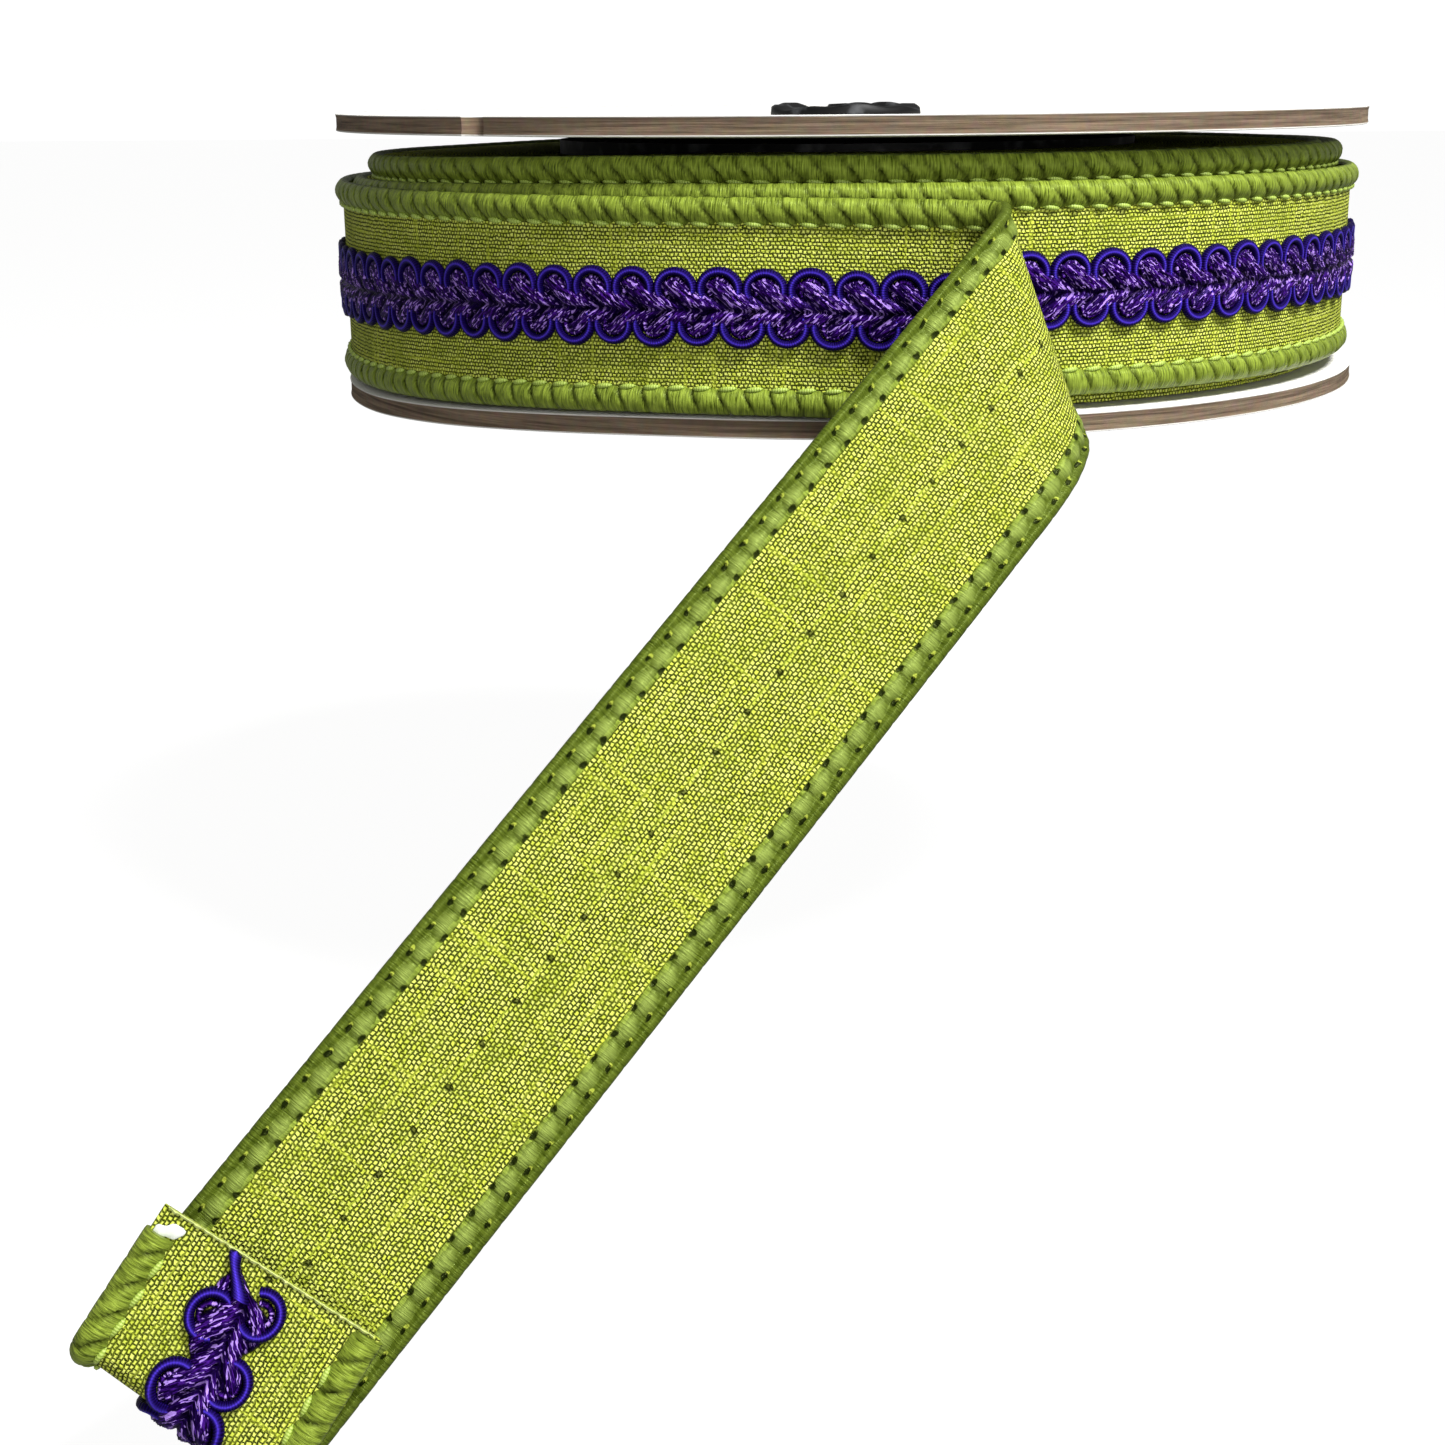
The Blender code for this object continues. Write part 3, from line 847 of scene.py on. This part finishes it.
# %% Hub and core surface
def core_grid():
    """The core and its hub as one profile turned about Z, the rim's height rippled."""
    top = SPOOL_HEIGHT + 0.8
    profile = np.array((
        # radius, height, share of the rim's ripple
        (0.0, 3.0, 0.0),
        (CORE_RADIUS, 3.0, 0.0),
        (CORE_RADIUS, FLANGE_TOP - 1.6, 0.0),
        (HUB_RADIUS, FLANGE_TOP - 1.8, 0.0),
        (HUB_RADIUS, SPOOL_HEIGHT - 0.6, 0.0),
        (HUB_RADIUS - 0.1, top - 0.35, 0.8),
        (HUB_RADIUS - 0.6, top, 1.0),
        (HUB_RADIUS - 2.2, top, 0.9),
        (HUB_RADIUS - 2.9, top - 0.6, 0.3),
        (3.0, top - 0.8, 0.0),
        (2.4, top - 0.2, 0.0),
        (0.0, top - 0.1, 0.0),
    ))
    turn = np.linspace(0.0, 2.0 * math.pi, 120, endpoint=False)
    ripple = -0.45 + 0.34 * np.sin(3.0 * turn + 1.0) + 0.20 * np.sin(8.0 * turn)
    radius = np.broadcast_to(np.maximum(profile[:, 0], 0.02), (len(turn), len(profile)))
    height = profile[None, :, 1] + ripple[:, None] * profile[None, :, 2]
    return turned(radius, height, turn[:, None]) * MM, turn, profile


points, turn, profile = core_grid()
rows = np.append(turn, 2.0 * math.pi) * HUB_RADIUS
uv = grid_uv(rows, outline_lengths(profile[:, :2]))
add_piece("core_and_hub", points, uv, PLASTIC, "core", ("spool_core",), ring_rows=True)

# %% [markdown]
# ## The wound cloth
# All turns under the outer one are hidden but for their top edges, so the roll is one
# ring. Its section follows the outer turn round the spiral: a cloth wall between the two
# bindings, and above it the steps of the turns further in.


# %% Wound cloth surface
def wound_grid():
    """Sections of the roll (radius, height) at even angles of the outer turn."""
    angle = np.linspace(ROLL_START, ROLL_END, 520)
    face = np.interp(angle, ROLL_ANGLES, np.hypot(PATH[:len(ROLL_ANGLES), 1],
                                                 PATH[:len(ROLL_ANGLES), 2]))
    top = top_edge(angle)
    inner_top = top_edge(angle - 720.0)
    border = BINDING_WIDTH - 0.3
    foot = top - RIBBON_WIDTH + border
    shoulder = top - border
    ledge = np.maximum(inner_top - 3.4, shoulder + 0.1)
    second = face - TURN_PITCH - 1.05
    third = second - TURN_PITCH
    floor = np.full_like(angle, FLANGE_THICKNESS + 0.3)
    core = np.full_like(angle, CORE_RADIUS + 0.3)
    columns = (
        (core, floor),
        (second, floor),
        (second, foot),
        (face, foot),
        (face, shoulder),
        (second, shoulder),
        (second, ledge),
        (third, ledge),
        (third, inner_top - 0.5),
        (core, inner_top - 0.5),
    )
    section = np.stack([np.stack(column, axis=-1) for column in columns], axis=1)
    points = turned(section[..., 0], section[..., 1], np.radians(angle)[:, None])
    return settle(points) * MM, section, angle


points, section, angle = wound_grid()
distance = np.interp(angle, ROLL_ANGLES, ROLL_DISTANCES)
lengths = outline_lengths(section[0])
lengths -= lengths[3] + BINDING_INNER + 0.3
rows = np.append(distance, distance[-1] + 0.3)
uv = grid_uv(rows, lengths)
add_piece("wound_cloth", points, uv, DUPION, "cloth", ("ribbon_roll",), ring_rows=True)

# %% [markdown]
# ## The loose end's cloth
# The loose end is a sheet a few tenths of a millimetre thick. Its grid runs along and
# across the flat ribbon, and the path bends it. Its back faces us on the long tail.


# %% Loose cloth sheet
def sheet_outline(half_width, top, bottom, count=14):
    """A thin rectangle as an outline (across, out), with points spread over its width."""
    across = np.linspace(-half_width, half_width, count)
    face = np.stack((across, np.full(count, top)), axis=1)
    back = np.stack((across[::-1], np.full(count, bottom)), axis=1)
    return np.concatenate((face, back))


CLOTH_HALF = HALF_WIDTH - 0.5
stations = np.linspace(0.0, LOOSE_LENGTH, 420)
outline = sheet_outline(CLOTH_HALF, 0.0, -CLOTH_DEPTH)
points = on_ribbon(stations[:, None], outline[None, :, 0], outline[None, :, 1])
columns = np.append(outline[:, 0], outline[0, 0])
uv = grid_uv(stations, columns)
loose_cloth = add_piece("loose_cloth", points, uv, DUPION, "cloth", ("loose_end_cloth",))

# %% [markdown]
# ## The bindings
# A binding is its flat tube outline carried along the path. On the face the satin is
# gathered into small slanted rolls, like a rope, one for each stitch. The gathers are a
# ripple whose crest leans across the binding, so the same grid carries them.


# %% Binding surfaces
CELL_MIDDLE = 0.86
CELL_HALF = 1.0


def rope_groove(phase):
    """Depth of the gathers: 1 in the narrow grooves, 0 on the plump rolls between."""
    return np.abs(2.0 * (phase % 1.0) - 1.0) ** 9


def cell_pillow(phase, inward):
    """Height of the back's cells: a pillow for each stitch with a nearly oval outline."""
    along = np.abs(2.0 * (phase % 1.0) - 1.0)
    across = np.abs((inward - CELL_MIDDLE) / CELL_HALF)
    return np.sqrt(np.clip(1.0 - along ** 1.6 - across ** 1.6, 0.0, None))


def binding_grid(start, end, side, steps_a_stitch=16):
    """The outline carried from start to end, with its gathers and its back's cells."""
    count = int((end - start) / STITCH_PITCH * steps_a_stitch)
    stations = np.linspace(start, end, count)
    inward = BINDING_OUTLINE[:, 0]
    slant = (ROPE_SLANT if side > 0.0 else LOWER_SLANT) + 0.12 * np.sin(0.37 * stations)
    phase = (stations[:, None] + slant[:, None] * inward[None, :]) / STITCH_PITCH
    groove = rope_groove(phase) * BINDING_OUTLINE[None, :, 2]
    pillow = cell_pillow(stations[:, None] / STITCH_PITCH, inward) * BINDING_OUTLINE[None, :, 3]
    swell = 1.0 + 0.05 * np.sin(0.9 * stations) + 0.04 * np.sin(2.3 * stations + 1.0)
    middle = np.array((1.7, 0.0))
    arm = BINDING_OUTLINE[:, :2] - middle
    arm /= np.linalg.norm(arm, axis=1)[:, None]
    inward = inward[None, :] - 0.55 * groove * arm[None, :, 0]
    out = BINDING_OUTLINE[None, :, 1] * swell[:, None] - 0.55 * groove * arm[None, :, 1]
    out = out - 0.38 * pillow
    points = on_ribbon(stations[:, None], side * (BINDING_INNER + inward), out)
    uv = grid_uv(stations, BINDING_LENGTHS)
    return points, uv, groove, pillow


UPPER_CUT = LOOSE_LENGTH - 2.6
LOWER_CUT = LOOSE_LENGTH - 0.3
for name, side, end, end_of_name in (
    ("upper_binding", 1.0, UPPER_CUT, "top"),
    ("lower_binding", -1.0, LOWER_CUT, "bottom"),
):
    points, uv, groove, pillow = binding_grid(OUTER_TURN, end, side)
    nodes = f"roll_binding_{end_of_name}", f"loose_end_binding_{end_of_name}"
    add_piece(name, points, uv, SATIN, "binding", nodes, groove=groove, pale=pillow)

points, uv, groove, pillow = binding_grid(INNER_TURNS, OUTER_TURN, 1.0, steps_a_stitch=10)
add_piece("inner_turn_bindings", points, uv, SATIN, "binding", groove=groove, pale=pillow)

# %% [markdown]
# ## The binding's stitches
# One stitch lies at the foot of each gather, along the binding's inner border. It is a
# short thread that dips into the cloth at both ends, so each one is a small spindle.


# %% Stitches along the inner border
def tube_grid(along, across, out, radius, side_arm, out_arm, ring=6):
    """Rings round middle lines, which are given in the ribbon's own three numbers.

    The lines are rows of points, or several such rows. A ring point is the middle point
    plus its radius times (cosine times the side arm plus sine times the out arm).
    """
    line = np.stack(np.broadcast_arrays(along, across, out), axis=-1)
    line = line.reshape(-1, *line.shape[-2:])
    turn = np.linspace(0.0, 2.0 * math.pi, ring, endpoint=False)
    arm = np.cos(turn)[:, None] * np.array(side_arm) + np.sin(turn)[:, None] * np.array(out_arm)
    place = line[:, :, None, :] + radius[None, :, None, None] * arm[None, None]
    points = on_ribbon(place[..., 0], place[..., 1], place[..., 2])
    rows = np.arange(line.shape[1]) * 0.3
    uv = grid_uv(rows, np.linspace(0.0, 2.0 * math.pi, ring + 1) * radius.max())
    return points, np.broadcast_to(uv, (len(line), *uv.shape))


def border_stitches(start, end, side):
    """A spindle for each stitch: its radius is the root of 1 less its offset squared."""
    first = math.ceil(start / STITCH_PITCH)
    middle = np.arange(first, math.floor(end / STITCH_PITCH)) * STITCH_PITCH + 1.3
    part = np.linspace(-1.0, 1.0, 7)
    radius = 0.33 * np.sqrt(np.clip(1.02 - part ** 2, 0.0, None))
    along = middle[:, None] + 1.15 * part
    across = side * (BINDING_INNER + 0.05 - 0.12 * part)
    out = 0.30 - 0.22 * part ** 2
    return tube_grid(along, across, out, radius, (0.0, 1.0, 0.0), (0.0, 0.0, 1.0))


for name, start, end, side in (
    ("upper_stitches", OUTER_TURN, UPPER_CUT - 1.0, 1.0),
    ("lower_stitches", OUTER_TURN, LOWER_CUT - 1.0, -1.0),
    ("inner_turn_stitches", INNER_TURNS, OUTER_TURN, 1.0),
):
    add_piece(name, *border_stitches(start, end, side), STITCH_THREAD, "binding")

# %% [markdown]
# ## The braid
# The looped cord is a thin tube that goes up, round and down again for each loop. The
# loops of the lower edge stand half a pitch further on. The plait between them is a low
# relief: slanted pads that meet in the middle like an ear of wheat, each pad a few
# bundles of thread.


# %% Looped cords
LOOP_RADIUS = 2.05
LOOP_CORD_RADIUS = 0.52
LOOP_CENTRE = GIMP_HALF_WIDTH - LOOP_RADIUS - LOOP_CORD_RADIUS
GIMP_START, GIMP_END = OUTER_TURN + 0.5, LOOSE_LENGTH


def drift(along):
    """How far the braid's middle wanders towards the upper edge near the cut."""
    return 0.8 * eased((along - GIMP_END + 11.0) / 7.0) + 3.0 * eased((along - GIMP_END + 4.4) / 4.4)


def loop_middles(shift, last):
    """Places of the loops' centres: one for each pitch, and the last one by itself."""
    middle = GIMP_START + (np.arange(400) + 0.5 + shift) * GIMP_PITCH
    return np.append(middle[middle < last - 0.7 * GIMP_PITCH], last)


def loop_grid(middle, side, radius, cord_radius, height, stretch, sink):
    """All loops of one edge, as (loops, stations, ring, 3).

    A loop's middle line is an arc of 250 degrees about its centre; a ring of points goes
    round it in the plane of the arc's radius and the face's normal.
    """
    swing = np.radians(np.linspace(-35.0, 215.0, 19))
    ring = np.linspace(0.0, 2.0 * math.pi, 8, endpoint=False)
    reach = radius + cord_radius * np.cos(ring)[None, :]
    size = 1.0 + 0.05 * np.sin(1.7 * middle)[:, None, None]
    along = middle[:, None, None] + stretch * size * reach * np.cos(swing)[:, None]
    lift = size * reach * np.sin(swing)[:, None]
    across = side * (LOOP_CENTRE + lift) + drift(middle)[:, None, None]
    dive = sink * np.clip(-np.sin(swing), 0.0, None)[:, None]
    out = height + cord_radius * np.sin(ring)[None, :] - dive
    along, across, out = np.broadcast_arrays(along, across, out)
    points = on_ribbon(along, across, out)
    rows = swing * radius
    columns = np.linspace(0.0, 2.0 * math.pi * cord_radius, 9)
    uv = grid_uv(rows, columns)
    uv = np.broadcast_to(uv, (len(middle), *uv.shape)) + middle[:, None, None, None]
    # crest marks the ring's outer side, where the material paints its highlight.
    crest = np.clip(np.sin(ring), 0.0, 1.0) ** 6
    return points, uv, np.broadcast_to(crest, points.shape[:-1])


UPPER_LOOPS = loop_middles(0.0, GIMP_END - 6.3)
LOWER_LOOPS = loop_middles(0.5, GIMP_END - 3.9)
LOOP_SIZES = (LOOP_RADIUS, LOOP_CORD_RADIUS, 0.55, 1.1, 0.25)
CURL_SIZES = (1.15, 0.36, 0.50, 1.0, 0.0)
for kind, sizes, material in (("loops", LOOP_SIZES, CORD), ("curls", CURL_SIZES, PLAIT)):
    for edge, middle, side in (("upper", UPPER_LOOPS, 1.0), ("lower", LOWER_LOOPS, -1.0)):
        points, uv, crest = loop_grid(middle, side, *sizes)
        uv = uv if material is CORD else uv[..., ::-1]
        add_piece(f"{edge}_{kind}", points, uv, material, "gimp", crest=crest)


# %% Plait relief
STRAND_SLANT = 1.15
PLAIT_MIDDLE = -0.35


def strand_height(along, across, shift):
    """Slanted strands: a rounded ridge for each, with finer ridges for its threads."""
    phase = (along + STRAND_SLANT * across + 0.5 * across ** 2 / GIMP_PITCH) / GIMP_PITCH + shift
    offset = (2.0 * (phase % 1.0) - 1.0) / 0.94
    ridge = np.clip(1.0 - offset ** 2, 0.0, None) ** 0.5
    thread = 0.5 + 0.5 * np.cos(2.0 * math.pi * 5.0 * phase + 0.8 * np.sin(1.9 * along))
    return ridge * (0.68 + 0.32 * thread)


def plait_grid(start, end):
    """The plait between the loops: relief over along and across, closed below."""
    step = 0.34
    stations = np.linspace(start, end, int((end - start) / step))
    part = np.linspace(-1.0, 1.0, 33)
    wave = np.pi * (stations - GIMP_START) / GIMP_PITCH
    taper = 0.14 + 0.86 * eased((end - stations) / 3.4)
    upper = (2.1 + 1.5 * np.abs(np.sin(wave))) * taper
    lower = (2.1 + 1.5 * np.abs(np.cos(wave))) * taper
    across = np.where(part[None, :] > 0.0, upper[:, None], lower[:, None]) * part[None, :]
    along = stations[:, None] - GIMP_START
    from_middle = across - PLAIT_MIDDLE
    upper_strand = strand_height(along, np.abs(from_middle), 0.25)
    lower_strand = strand_height(along, np.abs(from_middle), 0.75)
    crest = np.where(from_middle > 0.0, upper_strand, lower_strand)
    crest = crest * (1.0 - 0.6 * np.exp(-(from_middle / 0.3) ** 2))
    edge = np.sqrt(np.clip(1.0 - np.abs(part) ** 6, 0.0, 1.0))[None, :]
    out = 0.10 + (0.20 + 0.95 * crest) * edge * (0.4 + 0.6 * taper[:, None])
    base = np.full((len(stations), 1), 0.03)
    across = np.concatenate((across, across[:, -1:], across[:, :1]), axis=1)
    out = np.concatenate((out, base, base), axis=1)
    # crest also carries the plait's painted highlight on the strands and painted shade in the gaps.
    crest = np.concatenate((crest * edge, 0.0 * base, 0.0 * base), axis=1)
    points = on_ribbon(stations[:, None], across + drift(stations)[:, None], out)
    slanted = stations[:, None] + STRAND_SLANT * np.abs(across - PLAIT_MIDDLE)
    threads = stations[:, None] * 0.6 - 0.9 * np.abs(across - PLAIT_MIDDLE)
    uv = np.stack((threads, slanted), axis=-1)
    return points, np.concatenate((uv, uv[:, :1]), axis=1), crest


points, uv, crest = plait_grid(GIMP_START, GIMP_END - 1.1)
add_piece("plait", points, uv, PLAIT, "gimp", ("roll_gimp", "loose_end_gimp"), crest=crest)

# %% [markdown]
# ## The cut end
# The ribbon was cut with scissors, so the cloth's last threads stand up along the cut as
# a thin pale line. The braid's cord was cut too, and ends in a rounded tip. A crumb of
# clear tape is left near the corner.


# %% Pieces of the cut end
def cord_tip():
    """The cord's last stretch: it narrows, then closes in a round tip."""
    part = np.linspace(0.0, 1.0, 16)
    along = GIMP_END - 3.6 + 3.6 * part
    across = drift(along) + 0.1
    out = 0.75 - 0.15 * part
    rounded = np.sqrt(np.clip(1.0 - np.clip((part - 0.9) / 0.1, 0.0, 1.0) ** 2, 0.02, None))
    radius = (1.05 - 0.40 * eased(part / 0.6) + 0.08 * eased((part - 0.7) / 0.15)) * rounded
    return tube_grid(along, across, out, radius, (0.0, 1.0, 0.0), (0.0, 0.0, 0.85), ring=12)


def raw_edge():
    """The last crosswise threads: a thin line along the cut that waves a little."""
    across = np.linspace(HALF_WIDTH - 1.0, -HALF_WIDTH + 1.2, 90)
    along = LOOSE_LENGTH + 0.06 * np.sin(5.0 * across) + 0.04 * np.sin(13.0 * across)
    out = -0.06 + 0.08 * np.sin(3.0 * across + 1.0)
    radius = 0.27 + 0.06 * np.sin(7.0 * across)
    return tube_grid(along, across, out, radius, (1.0, 0.0, 0.0), (0.0, 0.0, 1.6), ring=8)


def tape_grid():
    """A flat crumb with an uneven outline, lying on the cloth."""
    part = np.linspace(-1.0, 1.0, 13)
    half = 0.62 * np.sqrt(np.clip(1.02 - part ** 4, 0.0, None)) * (1.0 + 0.2 * np.sin(6.0 * part))
    slant = np.array((0.48, -0.88)) * 1.55
    middle_along = LOOSE_LENGTH - 1.9 + slant[0] * part
    middle_across = 10.4 + slant[1] * part
    return tube_grid(
        middle_along, middle_across, 0.16, half, (0.88, 0.48, 0.0), (0.0, 0.0, 0.22), ring=10)


def plain_mix(name, roughness, specular, level, first, second):
    """A material that only mixes two colours by a noise made by the level function."""
    material, tree = new_material(name, roughness, specular)
    link_surface(tree, layered(tree, first, (level(tree), second)))
    return material


def milky_cloud(tree):
    """Fine even noise for the torn fibres of clear tape."""
    place = add_node(tree, "TexCoord", (), "Object")
    return add_node(tree, "TexNoise", {"Vector": place, "Scale": 1500.0, "Detail": 3.0})


RAW_YARN = plain_mix(
    "raw yarn ends", 0.7, 0.3, lambda tree: ribbon_noise(tree, 2.0, 3.0, 2.0), "#b9cc4e", "#eef2b0")
TAPE = plain_mix("clear tape, torn", 0.5, 0.4, milky_cloud, "#b9bfb0", "#f4f6f0")

points, uv = cord_tip()
ring = np.linspace(0.0, 2.0 * math.pi, points.shape[2], endpoint=False)
# Painted highlight along the tip's crest.
crest = np.broadcast_to(np.clip(np.sin(ring), 0.0, 1.0) ** 3, points.shape[:-1])
add_piece("cord_tip", points, uv, CORD, "gimp", crest=crest)
add_piece("raw_edge", *raw_edge(), RAW_YARN, "cloth")
add_piece("tape_crumb", *tape_grid(), TAPE, "cloth")

# %% [markdown]

# %% [markdown]
# ## Floor and light
# The object is held above a plain pale ground. A soft light from the front right gives
# the satin its shine and leaves the left end of the roll darker, and a low one fills in.

# %% Floor, lights and sky
FLOOR_HEIGHT = CAD_BOX[0][2] - 0.004
SKY_LIGHT = 0.25
SKY_SEEN = 1.05


def make_floor():
    """A large pale plane under the lowest point of the ribbon, bright enough to look white."""
    side = 6.0
    mesh = bpy.data.meshes.new("floor")
    corners = [(-side, -side, FLOOR_HEIGHT), (side, -side, FLOOR_HEIGHT),
               (side, side, FLOOR_HEIGHT), (-side, side, FLOOR_HEIGHT)]
    mesh.from_pydata(corners, [], [(0, 1, 2, 3)])
    material, tree = new_material("pale matt ground", 0.9, 0.1)
    shader = tree.nodes["Principled BSDF"]
    shader.inputs["Base Color"].default_value = hex_colour("#787876")
    shader.inputs["Emission Color"].default_value = hex_colour("#ffffff")
    shader.inputs["Emission Strength"].default_value = 0.92
    mesh.materials.append(material)
    floor = bpy.data.objects.new("floor", mesh)
    bpy.context.scene.collection.objects.link(floor)
    floor.visible_diffuse = False
    floor.visible_glossy = False


def add_light(name, place, target, size, power):
    """A square area light that faces a target, all in metres and watts."""
    data = bpy.data.lights.new(name, "AREA")
    data.size = size
    data.energy = power
    light = bpy.data.objects.new(name, data)
    light.location = place
    facing = Vector(target) - Vector(place)
    light.rotation_euler = facing.to_track_quat("-Z", "Y").to_euler()
    bpy.context.scene.collection.objects.link(light)


make_floor()
add_light("key", (0.37, -0.38, 0.66), (0.0, -0.05, 0.0), 0.22, 11.2)
add_light("fill", (0.16, -0.85, 0.05), (0.0, 0.0, 0.0), 0.4, 3.0)

world = bpy.data.worlds.new("sky")
world.use_nodes = True
tree = world.node_tree
rays = add_node(tree, "LightPath", (), "Is Camera Ray")
strength = add_node(
    tree, "Math", (rays, SKY_SEEN - SKY_LIGHT, SKY_LIGHT), operation="MULTIPLY_ADD")
tree.nodes["Background"].inputs["Color"].default_value = (1.0, 1.0, 1.0, 1.0)
tree.links.new(strength, tree.nodes["Background"].inputs["Strength"])
bpy.context.scene.world = world
bpy.context.scene.view_settings.view_transform = "Standard"
